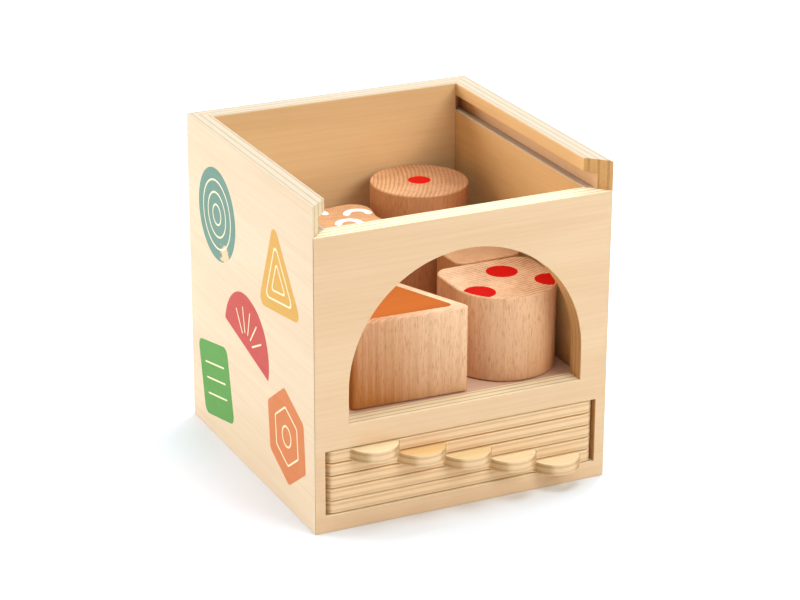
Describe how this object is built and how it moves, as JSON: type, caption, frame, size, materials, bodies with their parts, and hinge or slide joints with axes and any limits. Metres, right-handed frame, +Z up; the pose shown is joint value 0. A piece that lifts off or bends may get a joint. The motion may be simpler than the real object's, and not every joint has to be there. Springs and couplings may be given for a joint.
{
  "type": "shape sorter box",
  "caption": "Open-topped plywood sorting box with an arched front window, wooden blocks on a shelf, and pull-tab lids with shaped holes stacked in a slot below.",
  "frame": {"origin": "middle of the box's underside, on the surface it stands on", "axes": "+Z up, -Y out of the front with the window and the lid slot, +X to the right as seen from the front"},
  "size_m": [0.15, 0.159, 0.158],
  "materials": {
    "wall_plywood": "clear-sealed pale plywood, satin",
    "floor_plywood": "bare pale plywood, matt",
    "lid_plywood": "clear-sealed pale plywood, satin",
    "block_beech": "solid beech, lightly waxed"
  },
  "bodies": {
    "box": {"left_panel": "wall_plywood", "right_panel": "wall_plywood", "back_panel": "wall_plywood", "front_panel": "wall_plywood", "shelf_panel": "floor_plywood", "bottom_panel": "floor_plywood"},
    "lid_1": {"lid_1": "lid_plywood"},
    "lid_2": {"lid_2": "lid_plywood"},
    "lid_3": {"lid_3": "lid_plywood"},
    "lid_4": {"lid_4": "lid_plywood"},
    "lid_5": {"lid_5": "lid_plywood"},
    "cylinder_block": {"cylinder_block": "block_beech"},
    "triangle_block": {"triangle_block": "block_beech"},
    "arch_block": {"arch_block": "block_beech"},
    "bar_block": {"bar_block": "block_beech"},
    "scallop_block": {"scallop_block": "block_beech"}
  },
  "joints": [
    {"name": "lid_1_slide", "type": "slide", "parent": "box", "child": "lid_1", "axis": [0, -1, 0], "range_m": [0, 0.145]},
    {"name": "lid_2_slide", "type": "slide", "parent": "box", "child": "lid_2", "axis": [0, -1, 0], "range_m": [0, 0.145]},
    {"name": "lid_3_slide", "type": "slide", "parent": "box", "child": "lid_3", "axis": [0, -1, 0], "range_m": [0, 0.145]},
    {"name": "lid_4_slide", "type": "slide", "parent": "box", "child": "lid_4", "axis": [0, -1, 0], "range_m": [0, 0.145]},
    {"name": "lid_5_slide", "type": "slide", "parent": "box", "child": "lid_5", "axis": [0, -1, 0], "range_m": [0, 0.145]},
    {"name": "cylinder_lift", "type": "slide", "parent": "box", "child": "cylinder_block", "axis": [0, 0, 1], "range_m": [0, 0.112]},
    {"name": "triangle_lift", "type": "slide", "parent": "box", "child": "triangle_block", "axis": [0, 0, 1], "range_m": [0, 0.112]},
    {"name": "arch_lift", "type": "slide", "parent": "box", "child": "arch_block", "axis": [0, 0, 1], "range_m": [0, 0.112]},
    {"name": "bar_lift", "type": "slide", "parent": "box", "child": "bar_block", "axis": [0, 0, 1], "range_m": [0, 0.112]},
    {"name": "scallop_lift", "type": "slide", "parent": "box", "child": "scallop_block", "axis": [0, 0, 1], "range_m": [0, 0.112]}
  ]
}
